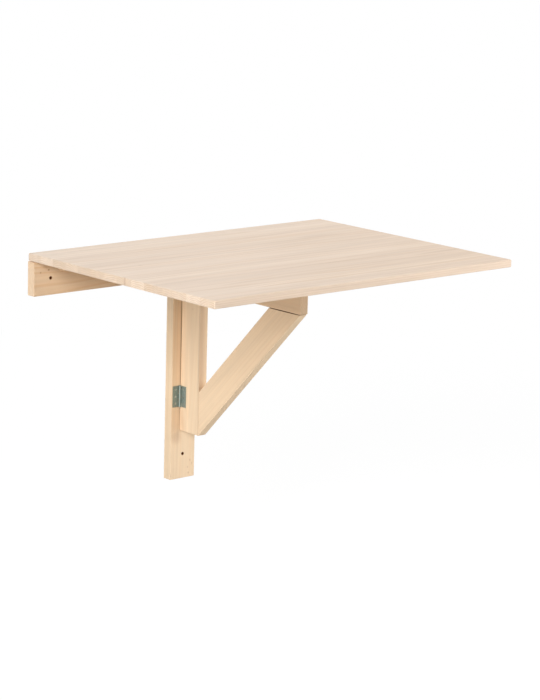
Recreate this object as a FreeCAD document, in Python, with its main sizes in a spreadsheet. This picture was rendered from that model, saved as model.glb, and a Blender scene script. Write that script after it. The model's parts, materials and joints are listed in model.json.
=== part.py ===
"""Wall mounted drop leaf table in pale solid wood.

A leaf of edge glued staves hangs on two butt hinges in front of a wall rail. A triangular
bracket of three boards swings on a vertical batten and carries the leaf when it stands square
to the wall. A strip on the rail sets the leaf hinges forward by the thickness of the bracket,
so that the folded bracket fits between the batten and the hanging leaf.

The origin is on the wall plane, in the middle of the rail's screw line. X runs along the wall,
+Y points into the wall and +Z points up. Sizes are in millimetres.
"""
import FreeCAD
import Part
import Sketcher
import math
import os

STAVE_COUNT = 14
KNUCKLE_COUNT = 5

SIZES = {
    # Leaf
    "leaf_width": 790,
    "leaf_depth": 590,
    "leaf_thick": 16,
    "leaf_edge_round": 2.5,
    "leaf_gap": 1.2,
    "leaf_wall_gap": 1,
    # Wall rail, and the batten under it
    "rail_height": 70,
    "frame_thick": 22,
    "batten_width": 66,
    "batten_length": 440,
    "wall_hole_radius": 3,
    "rail_hole_inset": 41,
    "batten_hole_inset": 54,
    "edge_round": 0.8,
    # Strip on the rail that carries the leaf hinges
    "strip_inset": 60,
    "strip_depth": 22,
    "strip_height": 20,
    "strip_clearance": 0.5,
    "strip_screw_inset": 25,
    "strip_screw_spread": 200,
    # Swinging bracket
    "bracket_thick": 20,
    "leg_width": 62,
    "leg_length": 382,
    "leg_clearance": 1.2,
    "arm_height": 66,
    "arm_length": 314,
    "brace_width": 67.5,
    "brace_setback": 2,
    "brace_head_gap": 1,
    # Dowels of the glued joints
    "dowel_radius": 4,
    "dowel_depth": 20,
    "dowel_spread": 30,
    "dowel_clearance": 0.05,
    "dowel_end_gap": 0.5,
    # Cleat under the leaf that rests on the arm
    "cleat_width": 66,
    "cleat_length": 280,
    "cleat_setback": 110,
    "cleat_clearance": 1,
    "cleat_rest_gap": 0.3,
    "cleat_screw_inset": 32,
    "cleat_screw_edge": 18,
    # Butt hinges
    "hinge_length": 46,
    "plate_width": 17.5,
    "plate_thick": 1.2,
    "plate_set": 2.5,
    "knuckle_radius": 2.7,
    "knuckle_gap": 0.3,
    "notch_gap": 0.4,
    "pin_radius": 1.5,
    "pin_clearance": 0.05,
    "pin_head_radius": 2.3,
    "pin_head_height": 1.2,
    "pin_tail": 0.6,
    "upper_hinge_drop": 69.5,
    "lower_hinge_rise": 75.5,
    "leaf_hinge_inset": 120,
    # Countersunk screws
    "hinge_screw_reach": 10,
    "hinge_screw_spread": 31,
    "hinge_screw_head_radius": 2.7,
    "hinge_screw_radius": 1.4,
    "hinge_screw_length": 12,
    "wood_screw_head_radius": 3.6,
    "wood_screw_radius": 2,
    "wood_screw_length": 32,
    "screw_clearance": 0.05,
    "screw_mouth": 0.5,
}

# Places worked out from the sizes, as expressions
RAIL_TOP = "(dims.rail_height / 2)"
RAIL_BOTTOM = "(-dims.rail_height / 2)"
RAIL_FRONT = "(-dims.frame_thick)"
BATTEN_BOTTOM = f"({RAIL_BOTTOM} - dims.batten_length)"
STRIP_FRONT = f"({RAIL_FRONT} - dims.strip_depth)"
STRIP_BOTTOM = f"({RAIL_TOP} - dims.strip_height)"
STRIP_LENGTH = "(dims.leaf_width - 2 * dims.strip_inset)"
BRACKET_TOP = f"({STRIP_BOTTOM} - dims.strip_clearance)"
BRACKET_LEFT = "(-dims.bracket_thick / 2)"
LEG_BACK = f"({RAIL_FRONT} - dims.leg_clearance)"
LEG_FRONT = f"({LEG_BACK} - dims.leg_width)"
LEG_BOTTOM = f"({BRACKET_TOP} - dims.leg_length)"
ARM_UNDER = f"({BRACKET_TOP} - dims.arm_height)"
ARM_END = f"({LEG_FRONT} - dims.arm_length)"
BRACE_RUN = "(dims.arm_length - dims.brace_setback)"
BRACE_TOP = f"({ARM_UNDER} - dims.brace_head_gap)"
BRACE_RISE = f"({BRACE_TOP} - {LEG_BOTTOM})"
BRACE_SLANT = f"sqrt({BRACE_RUN} ^ 2 + {BRACE_RISE} ^ 2)"
BRACE_FOOT = f"(dims.brace_width * {BRACE_SLANT} / {BRACE_RUN})"
BRACE_HEAD = f"(dims.brace_width * {BRACE_SLANT} / {BRACE_RISE})"
BRACE_TIP = f"({ARM_END} + dims.brace_setback)"
LEAF_UNDER = f"({RAIL_TOP} + dims.leaf_gap)"
LEAF_TOP = f"({LEAF_UNDER} + dims.leaf_thick)"
LEAF_BACK = "(-dims.leaf_wall_gap)"
LEAF_HINGE_X = "(dims.leaf_width / 2 - dims.leaf_hinge_inset)"
CLEAT_LEFT = f"({BRACKET_LEFT} + dims.cleat_clearance)"
CLEAT_RIGHT = f"({CLEAT_LEFT} + dims.cleat_width)"
CLEAT_UNDER = f"({BRACKET_TOP} + dims.cleat_rest_gap)"
CLEAT_BACK = "(-dims.cleat_setback)"
PIN_OFFSET = "(dims.knuckle_radius + dims.knuckle_gap)"
PLATE_FACE = f"({PIN_OFFSET} - dims.plate_thick)"

LEFT = FreeCAD.Vector(-1, 0, 0)
RIGHT = FreeCAD.Vector(1, 0, 0)
INTO_ROOM = FreeCAD.Vector(0, -1, 0)
INTO_WALL = FreeCAD.Vector(0, 1, 0)
DOWN = FreeCAD.Vector(0, 0, -1)
UP = FreeCAD.Vector(0, 0, 1)

doc = FreeCAD.newDocument("drop_leaf_table")
dims = doc.addObject("Spreadsheet::Sheet", "dims")
for row, (alias, size) in enumerate(SIZES.items(), start=1):
    dims.set(f"A{row}", str(size))
    dims.setAlias(f"A{row}", alias)
doc.recompute()

pieces = []


def number(expression):
    """Give the present value of an expression."""
    return float(dims.evalExpression(expression))


def along(place, *moves):
    """Move a place of three expressions along unit vectors, each by an expression."""
    moved = list(place)
    for way, amount in moves:
        for axis, share in enumerate(way):
            if share:
                moved[axis] = f"{moved[axis]} + ({share:.0f}) * ({amount})"
    return moved


def set_place(thing, place, rotation=FreeCAD.Rotation()):
    """Turn an object, then tie its place to the sizes."""
    thing.Placement = FreeCAD.Placement(FreeCAD.Vector(), rotation)
    for axis, expression in zip("xyz", place):
        thing.setExpression(f"Placement.Base.{axis}", expression)


def keep(label, thing):
    """Label a finished piece and list it for the hand-in."""
    thing.Label = label
    pieces.append(thing)
    return thing


def start_sketch(body, plane_role):
    """Start a sketch on one of the body's own origin planes."""
    sketch = body.newObject("Sketcher::SketchObject", "outline")
    plane = [part for part in body.Origin.OriginFeatures if part.Role == plane_role][0]
    sketch.AttachmentSupport = [(plane, "")]
    sketch.MapMode = "FlatFace"
    return sketch


def tie(sketch, kind, *references, size):
    """Add a constraint whose value follows an expression."""
    index = sketch.addConstraint(Sketcher.Constraint(kind, *references, number(size)))
    sketch.setExpression(f"Constraints[{index}]", size)


def tie_point(sketch, edge, end, place):
    """Hold one end of an edge at a place given by two expressions."""
    for kind, expression in zip(("DistanceX", "DistanceY"), place):
        tie(sketch, kind, -1, 1, edge, end, size=expression)


def draw_polygon(sketch, corners):
    """Draw a closed outline of straight edges through corners given by expressions."""
    points = [FreeCAD.Vector(number(across), number(up), 0) for across, up in corners]
    edges = [
        sketch.addGeometry(Part.LineSegment(point, points[(index + 1) % len(points)]))
        for index, point in enumerate(points)
    ]
    for index, edge in enumerate(edges):
        following = edges[(index + 1) % len(edges)]
        sketch.addConstraint(Sketcher.Constraint("Coincident", edge, 2, following, 1))
        tie_point(sketch, edge, 1, corners[index])


def rectangle(left, bottom, right, top):
    """List the corners of an upright rectangle."""
    return [(left, bottom), (right, bottom), (right, top), (left, top)]


def pad_sketch(body, sketch, depth, symmetric=False):
    """Pad a sketch by an expression, to one side or evenly to both."""
    pad = body.newObject("PartDesign::Pad", "pad")
    pad.Profile = sketch
    pad.SideType = "Symmetric" if symmetric else "One side"
    pad.setExpression("Length", depth)
    return pad


def make_board(label, plane_role, corners, depth, symmetric=False, edge="dims.edge_round"):
    """Saw a board to an outline, plane it to a depth and ease all its edges."""
    body = doc.addObject("PartDesign::Body", f"{label}_stock")
    sketch = start_sketch(body, plane_role)
    draw_polygon(sketch, corners)
    pad = pad_sketch(body, sketch, depth, symmetric)
    doc.recompute()
    eased = body.newObject("PartDesign::Fillet", "eased")
    eased.Base = (pad, ["Edge1"])
    eased.UseAllEdges = True
    eased.setExpression("Radius", edge)
    return body


def turn_profile(label, corners):
    """Turn a closed half outline about the Z axis."""
    body = doc.addObject("PartDesign::Body", label)
    sketch = start_sketch(body, "XZ_Plane")
    draw_polygon(sketch, corners)
    turned = body.newObject("PartDesign::Revolution", "turned")
    turned.Profile = sketch
    turned.ReferenceAxis = (sketch, ["V_Axis"])
    turned.Angle = 360
    return body


def make_rod(label, place, way, radius, length):
    """Make a round rod that starts at a place and runs one way."""
    rod = doc.addObject("Part::Cylinder", label)
    rod.setExpression("Radius", radius)
    rod.setExpression("Height", length)
    set_place(rod, place, FreeCAD.Rotation(UP, way))
    return rod


def make_group(label, members):
    """Hold several solids in one compound."""
    group = doc.addObject("Part::Compound", label)
    group.Links = members
    return group


def make_copies(label, master, spots):
    """Set copies of a master that points down, each at a place and pointing its own way."""
    copies = []
    for place, way in spots:
        copy = doc.addObject("App::Link", f"{label}_copy")
        copy.LinkedObject = master
        set_place(copy, place, FreeCAD.Rotation(DOWN, way))
        copies.append(copy)
    return make_group(label, copies)


def drill(label, stock, tools):
    """Take the tools' shapes out of a piece of stock, and keep it under its label."""
    bored = doc.addObject("Part::Cut", label)
    bored.Base = stock
    bored.Tool = make_group(f"{label}_tools", tools)
    return keep(label, bored)


def make_screw(kind):
    """Turn a countersunk screw, pointing down from its flush head."""
    head = f"dims.{kind}_head_radius"
    shank = f"dims.{kind}_radius"
    neck = f"{shank} - {head}"
    length = f"dims.{kind}_length"
    shoulder = f"2 * {shank} - {length}"
    corners = [("0", "0"), (head, "0"), (shank, neck), (shank, shoulder), ("0", f"-{length}")]
    return turn_profile(kind, corners)


def make_screw_bore(kind):
    """Turn the countersunk bore that a screw sits in, with its mouth open above the head."""
    head = f"dims.{kind}_head_radius + dims.screw_clearance"
    shank = f"dims.{kind}_radius + dims.screw_clearance"
    neck = f"dims.{kind}_radius - dims.{kind}_head_radius"
    end = f"-dims.{kind}_length - dims.screw_clearance"
    mouth = "dims.screw_mouth"
    corners = [("0", mouth), (head, mouth), (head, "0"), (shank, neck), (shank, end), ("0", end)]
    return turn_profile(f"{kind}_bore", corners)


def make_dowels(label, place, way, spread_way):
    """Make the pair of dowels of a joint, and give the bores that they sit in."""
    dowels = []
    bores = []
    bore_depth = "(dims.dowel_depth + dims.dowel_end_gap)"
    bore_radius = "dims.dowel_radius + dims.dowel_clearance"
    for side in (-1, 1):
        middle = along(place, (spread_way, f"{side} * dims.dowel_spread / 2"))
        start = along(middle, (way, "-dims.dowel_depth"))
        dowels.append(make_rod(f"{label}_rod", start, way, "dims.dowel_radius", "2 * dims.dowel_depth"))
        start = along(middle, (way, f"-{bore_depth}"))
        bores.append(make_rod(f"{label}_bore", start, way, bore_radius, f"2 * {bore_depth}"))
    keep(label, make_group(label, dowels))
    return make_group(f"{label}_bores", bores)


def draw_hinge_profile(sketch):
    """Draw a flat plate whose end is rolled into a knuckle round the pin, seen along the pin."""
    radius = number("dims.knuckle_radius")
    face = number(PLATE_FACE)
    circle = Part.Circle(FreeCAD.Vector(), UP, radius)
    roll_end = 2 * math.pi + math.asin(face / radius)
    roll = sketch.addGeometry(Part.ArcOfCircle(circle, math.pi / 2, roll_end))
    sketch.addConstraint(Sketcher.Constraint("Coincident", roll, 3, -1, 1))
    sketch.addConstraint(Sketcher.Constraint("PointOnObject", roll, 1, -2))
    tie(sketch, "Radius", roll, size="dims.knuckle_radius")
    tie(sketch, "DistanceY", -1, 1, roll, 2, size=PLATE_FACE)

    corners = [
        ("dims.plate_width", PLATE_FACE),
        ("dims.plate_width", PIN_OFFSET),
        ("dims.plate_set", PIN_OFFSET),
    ]
    points = [FreeCAD.Vector(radius * math.cos(roll_end), face, 0)]
    points += [FreeCAD.Vector(number(across), number(up), 0) for across, up in corners]
    points.append(FreeCAD.Vector(0, radius, 0))
    previous = roll
    for index, corner in enumerate(corners):
        edge = sketch.addGeometry(Part.LineSegment(points[index], points[index + 1]))
        sketch.addConstraint(Sketcher.Constraint("Coincident", previous, 2, edge, 1))
        tie_point(sketch, edge, 2, corner)
        previous = edge
    last = sketch.addGeometry(Part.LineSegment(points[-2], points[-1]))
    sketch.addConstraint(Sketcher.Constraint("Coincident", previous, 2, last, 1))
    sketch.addConstraint(Sketcher.Constraint("Coincident", last, 2, roll, 1))

    bore_radius = "dims.pin_radius + dims.pin_clearance"
    bore = sketch.addGeometry(Part.Circle(FreeCAD.Vector(), UP, number(bore_radius)))
    sketch.addConstraint(Sketcher.Constraint("Coincident", bore, 3, -1, 1))
    tie(sketch, "Radius", bore, size=bore_radius)


def make_hinge_leaf(label, notched, place, plate_way, wood_way):
    """Make a hinge leaf with notches where the other leaf's knuckles turn."""
    body = doc.addObject("PartDesign::Body", f"{label}_blank")
    sketch = start_sketch(body, "XY_Plane")
    draw_hinge_profile(sketch)
    pad_sketch(body, sketch, "dims.hinge_length", symmetric=True)
    doc.recompute()
    notches = start_sketch(body, "XZ_Plane")
    pitch = f"dims.hinge_length / {KNUCKLE_COUNT}"
    back = f"-({PIN_OFFSET} + dims.notch_gap)"
    front = "dims.knuckle_radius + dims.notch_gap"
    for knuckle in notched:
        bottom = f"{knuckle} * {pitch} - (dims.hinge_length + dims.knuckle_gap) / 2"
        top = f"{bottom} + {pitch} + dims.knuckle_gap"
        draw_polygon(notches, rectangle(back, bottom, front, top))
    pocket = body.newObject("PartDesign::Pocket", "knuckle_notches")
    pocket.Profile = notches
    pocket.Type = "ThroughAll"
    pocket.SideType = "Symmetric"
    rotation = FreeCAD.Rotation(plate_way, wood_way, plate_way.cross(wood_way), "XYZ")
    set_place(body, place, rotation)
    return body


def make_pin(label, place, way):
    """Make a hinge pin with a peened head at its far end."""
    bottom = "-dims.hinge_length / 2 - dims.pin_tail"
    seat = "dims.hinge_length / 2"
    crown = f"{seat} + dims.pin_head_height"
    corners = [
        ("0", bottom),
        ("dims.pin_radius", bottom),
        ("dims.pin_radius", seat),
        ("dims.pin_head_radius", seat),
        ("dims.pin_head_radius", f"{seat} + dims.pin_head_height / 2"),
        ("dims.pin_radius", crown),
        ("0", crown),
    ]
    pin = turn_profile(f"{label}_turned", corners)
    set_place(pin, place, FreeCAD.Rotation(UP, way))
    return keep(label, pin)


def plate_screw_spots(place, plate_way, wood_way):
    """List where the screws of a hinge plate sit, in a row beside the pin."""
    pin_way = plate_way.cross(wood_way)
    return [
        (
            along(
                place,
                (plate_way, "dims.hinge_screw_reach"),
                (pin_way, f"{step} * dims.hinge_screw_spread / 2"),
                (wood_way, PLATE_FACE),
            ),
            wood_way,
        )
        for step in (-1, 0, 1)
    ]


def make_hinges(names, places, fixed_ways, moving_ways, pin_ways):
    """Make like butt hinges, and list the screw spots of their fixed and their moving leaves."""
    all_knuckles = range(KNUCKLE_COUNT)
    fixed_spots = []
    moving_spots = []
    for name, place, pin_way in zip(names, places, pin_ways):
        sides = (
            ("fixed_leaf", all_knuckles[1::2], fixed_ways, fixed_spots),
            ("moving_leaf", all_knuckles[0::2], moving_ways, moving_spots),
        )
        for side, notched, ways, spots in sides:
            label = f"{name}_{side}"
            blank = make_hinge_leaf(label, notched, place, *ways)
            plate_spots = plate_screw_spots(place, *ways)
            drill(label, blank, [make_copies(f"{label}_bores", hinge_screw_bore, plate_spots)])
            spots.extend(plate_spots)
        make_pin(f"{name}_pin", place, pin_way)
    return fixed_spots, moving_spots


def make_screws(label, kind_master, bore_master, spots):
    """Set a group of screws, and give the bores that they sit in."""
    keep(label, make_copies(label, kind_master, spots))
    return make_copies(f"{label}_bores", bore_master, spots)


def wall_holes(label, places):
    """Give the plain holes for the screws that hold a board to the wall."""
    rods = [
        make_rod(f"{label}_rod", place, INTO_ROOM, "dims.wall_hole_radius", "dims.frame_thick")
        for place in places
    ]
    return make_group(label, rods)


# Screw masters
hinge_screw = make_screw("hinge_screw")
hinge_screw_bore = make_screw_bore("hinge_screw")
wood_screw = make_screw("wood_screw")
wood_screw_bore = make_screw_bore("wood_screw")

# Bracket hinges: the pins stand in the corner between the batten's front and the leg's left face
pivot_x = f"{BRACKET_LEFT} - {PIN_OFFSET}"
pivot_y = f"{RAIL_FRONT} - {PIN_OFFSET}"
batten_spots, leg_spots = make_hinges(
    ("upper_bracket_hinge", "lower_bracket_hinge"),
    (
        (pivot_x, pivot_y, f"{BRACKET_TOP} - dims.upper_hinge_drop"),
        (pivot_x, pivot_y, f"{LEG_BOTTOM} + dims.lower_hinge_rise"),
    ),
    (LEFT, INTO_WALL),
    (INTO_ROOM, RIGHT),
    (UP, UP),
)
batten_screw_bores = make_screws("batten_hinge_screws", hinge_screw, hinge_screw_bore, batten_spots)
leg_screw_bores = make_screws("leg_hinge_screws", hinge_screw, hinge_screw_bore, leg_spots)

# Leaf hinges: the pins lie in the corner between the strip's front and the leaf's underside
leaf_axis_y = f"{STRIP_FRONT} - {PIN_OFFSET}"
leaf_axis_z = f"{LEAF_UNDER} - {PIN_OFFSET}"
strip_spots, leaf_spots = make_hinges(
    ("left_leaf_hinge", "right_leaf_hinge"),
    (
        (f"-{LEAF_HINGE_X}", leaf_axis_y, leaf_axis_z),
        (LEAF_HINGE_X, leaf_axis_y, leaf_axis_z),
    ),
    (DOWN, INTO_WALL),
    (INTO_ROOM, UP),
    (LEFT, RIGHT),
)
strip_hinge_bores = make_screws("strip_hinge_screws", hinge_screw, hinge_screw_bore, strip_spots)
leaf_hinge_bores = make_screws("leaf_hinge_screws", hinge_screw, hinge_screw_bore, leaf_spots)

# Wall rail, batten and hinge strip
strip_middle = f"({STRIP_BOTTOM} + dims.strip_height / 2)"
strip_screw_places = (f"{STRIP_LENGTH} / 2 - dims.strip_screw_inset", "dims.strip_screw_spread / 2")
strip_screw_spots = [
    ((f"{side} * ({place})", STRIP_FRONT, strip_middle), INTO_WALL)
    for place in strip_screw_places
    for side in (-1, 1)
]
strip_bores = make_screws("strip_screws", wood_screw, wood_screw_bore, strip_screw_spots)
rail_dowel_bores = make_dowels("rail_dowels", ("0", f"{RAIL_FRONT} / 2", RAIL_BOTTOM), UP, RIGHT)

rail_holes = wall_holes(
    "rail_holes",
    [(f"{side} * (dims.leaf_width / 2 - dims.rail_hole_inset)", "0", "0") for side in (-1, 1)],
)
rail_corners = rectangle("-dims.leaf_width / 2", RAIL_BOTTOM, "dims.leaf_width / 2", RAIL_TOP)
rail = make_board("wall_rail", "XZ_Plane", rail_corners, "dims.frame_thick")
drill("wall_rail", rail, [rail_holes, strip_bores, rail_dowel_bores])

batten_holes = wall_holes(
    "batten_holes",
    [
        ("0", "0", f"{RAIL_BOTTOM} - dims.batten_hole_inset"),
        ("0", "0", f"{BATTEN_BOTTOM} + dims.batten_hole_inset"),
    ],
)
batten_corners = rectangle("-dims.batten_width / 2", BATTEN_BOTTOM, "dims.batten_width / 2", RAIL_BOTTOM)
batten = make_board("wall_batten", "XZ_Plane", batten_corners, "dims.frame_thick")
drill("wall_batten", batten, [batten_holes, batten_screw_bores, rail_dowel_bores])

strip_corners = rectangle(STRIP_FRONT, STRIP_BOTTOM, RAIL_FRONT, RAIL_TOP)
strip = make_board("hinge_strip", "YZ_Plane", strip_corners, STRIP_LENGTH, symmetric=True)
drill("hinge_strip", strip, [strip_bores, strip_hinge_bores])

# Bracket: a leg on the hinges, an arm on its front edge and a brace from corner to corner
arm_middle = f"({BRACKET_TOP} - dims.arm_height / 2)"
arm_bores = make_dowels("leg_arm_dowels", ("0", LEG_FRONT, arm_middle), INTO_ROOM, UP)
foot_lean = f"dims.dowel_depth / 2 * {BRACE_RISE} / {BRACE_RUN}"
foot_middle = f"({LEG_BOTTOM} + {BRACE_FOOT} / 2 + {foot_lean})"
foot_bores = make_dowels("leg_brace_dowels", ("0", LEG_FRONT, foot_middle), INTO_ROOM, UP)
head_lean = f"dims.dowel_depth / 2 * {BRACE_RUN} / {BRACE_RISE}"
head_middle = f"({BRACE_TIP} + {BRACE_HEAD} / 2 + {head_lean})"
head_bores = make_dowels("arm_brace_dowels", ("0", head_middle, ARM_UNDER), UP, INTO_ROOM)

leg_corners = rectangle(LEG_FRONT, LEG_BOTTOM, LEG_BACK, BRACKET_TOP)
leg = make_board("bracket_leg", "YZ_Plane", leg_corners, "dims.bracket_thick", symmetric=True)
drill("bracket_leg", leg, [leg_screw_bores, arm_bores, foot_bores])

arm_corners = rectangle(ARM_END, ARM_UNDER, LEG_FRONT, BRACKET_TOP)
arm = make_board("bracket_arm", "YZ_Plane", arm_corners, "dims.bracket_thick", symmetric=True)
drill("bracket_arm", arm, [arm_bores, head_bores])

brace_corners = [
    (LEG_FRONT, LEG_BOTTOM),
    (LEG_FRONT, f"{LEG_BOTTOM} + {BRACE_FOOT}"),
    (f"{BRACE_TIP} + {BRACE_HEAD}", BRACE_TOP),
    (BRACE_TIP, BRACE_TOP),
]
brace = make_board("bracket_brace", "YZ_Plane", brace_corners, "dims.bracket_thick", symmetric=True)
drill("bracket_brace", brace, [foot_bores, head_bores])

# Leaf cleat, clear of the folded bracket and resting on the arm
cleat_screw_spots = [
    ((across, lengthwise, CLEAT_UNDER), UP)
    for across in (f"{CLEAT_LEFT} + dims.cleat_screw_edge", f"{CLEAT_RIGHT} - dims.cleat_screw_edge")
    for lengthwise in (
        f"{CLEAT_BACK} - dims.cleat_screw_inset",
        f"{CLEAT_BACK} - dims.cleat_length + dims.cleat_screw_inset",
    )
]
cleat_bores = make_screws("cleat_screws", wood_screw, wood_screw_bore, cleat_screw_spots)
cleat_corners = rectangle(CLEAT_LEFT, CLEAT_UNDER, CLEAT_RIGHT, LEAF_UNDER)
cleat = make_board("leaf_cleat", "XZ_Plane", cleat_corners, "dims.cleat_length")
set_place(cleat, ("0", CLEAT_BACK, "0"))
drill("leaf_cleat", cleat, [cleat_bores])

# Leaf, glued up and eased as one panel, then parted along its glue lines
panel_corners = rectangle("-dims.leaf_width / 2", LEAF_UNDER, "dims.leaf_width / 2", LEAF_TOP)
panel = make_board("leaf_panel", "XZ_Plane", panel_corners, "dims.leaf_depth", edge="dims.leaf_edge_round")
set_place(panel, ("0", LEAF_BACK, "0"))
bored_panel = doc.addObject("Part::Cut", "bored_panel")
bored_panel.Base = panel
bored_panel.Tool = make_group("panel_tools", [leaf_hinge_bores, cleat_bores])
for index in range(STAVE_COUNT):
    stave_width = f"dims.leaf_depth / {STAVE_COUNT}"
    span = doc.addObject("Part::Box", "stave_span")
    span.setExpression("Length", "dims.leaf_width")
    span.setExpression("Width", stave_width)
    span.setExpression("Height", "dims.leaf_thick")
    stave_front = f"{LEAF_BACK} - {index + 1} * {stave_width}"
    set_place(span, ("-dims.leaf_width / 2", stave_front, LEAF_UNDER))
    stave = doc.addObject("Part::Common", "stave")
    stave.Base = bored_panel
    stave.Tool = span
    keep(f"leaf_stave_{index + 1:02d}", stave)

doc.recompute()


def check_document():
    """Stop where an object failed, a piece has no sound solid or a tool took nothing away."""
    for thing in doc.Objects:
        if "Invalid" in thing.State or "Error" in thing.State:
            raise RuntimeError(f"{thing.Label} failed: {thing.State}")
        if thing.TypeId == "Part::Cut" and thing.Shape.Volume >= thing.Base.Shape.Volume:
            raise RuntimeError(f"nothing was bored out of {thing.Label}")
        if thing.TypeId == "PartDesign::Pocket" and thing.Shape.Volume >= thing.BaseFeature.Shape.Volume:
            raise RuntimeError(f"nothing was cut by {thing.Label}")
    for piece in pieces:
        shape = piece.Shape
        if shape.isNull() or not shape.isValid() or not shape.Solids:
            raise RuntimeError(f"{piece.Label} has no sound solid")


check_document()
os.makedirs("parts", exist_ok=True)
for piece in pieces:
    piece.Shape.exportStep(f"parts/{piece.Label}.step")
print(f"{len(pieces)} pieces, {sum(len(piece.Shape.Solids) for piece in pieces)} solids")
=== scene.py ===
"""Finish of a wall mounted drop leaf table in pale solid wood.

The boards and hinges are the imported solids, which stay where they are. Each board gets its own
grain, cut from one solid pattern of growth rings, the hinges get their zinc, and the plain
screws and dowels are replaced by cross-head screws with threads and by fluted dowels.
Lengths are in metres, in the frame of the solids: X along the wall, +Y into the wall, +Z up.
"""
import json
import math
import random
from typing import NamedTuple

import bmesh
import bpy
from bpy.props import FloatProperty, FloatVectorProperty, IntProperty, PointerProperty
from mathutils import Euler, Matrix, Vector

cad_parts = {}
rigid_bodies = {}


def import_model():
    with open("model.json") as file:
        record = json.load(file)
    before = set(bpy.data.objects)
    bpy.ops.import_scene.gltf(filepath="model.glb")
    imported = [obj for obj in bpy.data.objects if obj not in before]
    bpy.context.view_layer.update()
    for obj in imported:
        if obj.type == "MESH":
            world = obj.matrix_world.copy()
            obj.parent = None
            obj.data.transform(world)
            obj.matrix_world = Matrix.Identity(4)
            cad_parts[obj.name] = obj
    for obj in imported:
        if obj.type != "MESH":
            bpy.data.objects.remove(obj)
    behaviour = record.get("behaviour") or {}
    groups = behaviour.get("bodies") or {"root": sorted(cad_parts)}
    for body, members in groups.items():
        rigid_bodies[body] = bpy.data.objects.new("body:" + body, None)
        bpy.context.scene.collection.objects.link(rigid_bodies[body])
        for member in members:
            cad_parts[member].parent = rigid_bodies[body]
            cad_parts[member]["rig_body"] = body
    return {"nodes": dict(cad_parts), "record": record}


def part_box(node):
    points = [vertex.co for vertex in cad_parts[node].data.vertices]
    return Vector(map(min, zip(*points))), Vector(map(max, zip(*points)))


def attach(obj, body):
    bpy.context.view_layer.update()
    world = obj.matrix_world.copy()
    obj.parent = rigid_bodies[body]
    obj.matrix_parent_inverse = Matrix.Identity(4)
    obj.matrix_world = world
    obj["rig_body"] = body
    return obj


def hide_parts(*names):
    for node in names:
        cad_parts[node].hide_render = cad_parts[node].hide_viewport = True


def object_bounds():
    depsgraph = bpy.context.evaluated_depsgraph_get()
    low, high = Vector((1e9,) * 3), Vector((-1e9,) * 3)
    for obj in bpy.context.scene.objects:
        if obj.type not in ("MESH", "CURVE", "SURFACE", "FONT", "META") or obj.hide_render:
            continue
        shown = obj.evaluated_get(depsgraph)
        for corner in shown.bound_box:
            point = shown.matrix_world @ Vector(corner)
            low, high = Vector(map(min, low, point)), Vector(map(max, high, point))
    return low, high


bl_info = {
    "name": "Drop Leaf Table Finish",
    "version": (1, 0, 0),
    "blender": (4, 5, 0),
    "location": "3D View > Sidebar > Drop Leaf Table",
    "description": "Wood grain, zinc, screws and studio for a wall mounted drop leaf table",
    "category": "Object",
}

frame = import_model()
cad_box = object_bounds()

MM = 0.001

# Seeds of what is left to chance: boards, screws and dowels, and the staves of the leaf
SEED = 14
STAVE_SEED = 42

# Sockets of the Mix node when it mixes colours
MIX_A = 6
MIX_B = 7
MIX_RESULT = 2

# A wave texture makes one ring for each turn of its phase, at this rate along the radius
WAVE_RATE = 20 / (2 * math.pi)

# Parts of a noise's range that a pattern is drawn from: nearly all of it, and its middle
NOISE_SPAN = {"From Min": 0.25, "From Max": 0.75}
NOISE_MIDDLE = {"From Min": 0.3, "From Max": 0.7}

# Growth rings: how far they are drawn out along the fibres, the share of late wood from the pale start of
# a ring to its end, and how strong late wood is in faint and in bold stretches
RING_STRETCH = 16
RING_PROFILE = ((0.0, 0.0), (0.4, 0.25), (0.78, 1.0), (0.9, 0.8), (1.0, 0.0))
RING_STRENGTH = {"To Min": 0.1, "To Max": 0.5}

# Tints of red, green and blue: a deep warm board, a pale cool one, a rough cut end and a sanded one
DEEP_TINT = (0.88, 0.84, 0.82)
PALE_TINT = (1.03, 1.05, 1.08)
ROUGH_END_TINT = (0.75, 0.7, 0.62)
SANDED_END_TINT = (1.08, 1.16, 1.28)

# Surface of the wood: its roughness, how far late wood stands out against the fibres, the depth of that
# relief, and how squarely a face looks along the fibres where it starts to be a cut end and where it is one
WOOD_ROUGHNESS = {"To Min": 0.6, "To Max": 0.76}
LATE_RELIEF = 0.5
RELIEF_DEPTH = 0.25 * MM
END_FACING = {"From Min": 0.75, "From Max": 0.95}

# Pith of a board: how far it runs behind the board and to a side of it in millimetres, and how far it leans
# out of line in degrees
PITH_BEHIND = (40, 75)
PITH_ASIDE = 16
PITH_LEAN = 1.2

# Staves of the leaf: the spread and the start of the place of a stave's pith, how pale the staves and their
# ends are, and the half width and the strength of a glue line
STAVE_PITH_SPREAD = (3.0, 40 * MM, 50 * MM)
STAVE_PITH_START = (-1.5, -20 * MM, 25 * MM)
STAVE_TONES = {
    "Tone": {"To Min": 0.55, "To Max": 1.0},
    "End Tone": {"To Min": 0.24, "To Max": 0.5},
}
GLUE_LINE = 0.5 * MM
GLUE_STRENGTH = 0.18

# Zinc: width of its clouds and of its grit, depth of the grit, and what clouds do to its level and gloss
ZINC_CLOUD = 4 * MM
ZINC_GRIT = 0.5 * MM
ZINC_GRIT_DEPTH = 0.05 * MM
ZINC_LEVEL = {"To Min": 0.82, "To Max": 1.15}
ZINC_GLOSS = (-0.08, 0.1)

# Screws: ends of the plain shank and of its taper as shares of the length, the thread's root and the
# point's length and radius as shares of the shank's radius, sides of the shank, and steps in a turn of
# the thread
PLAIN_END = 0.38
TAPER_END = 0.42
ROOT_SHARE = 0.7
POINT_LENGTH = 2.0
POINT_RADIUS = 0.08
SCREW_SIDES = 24
HELIX_STEPS = 12

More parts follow.
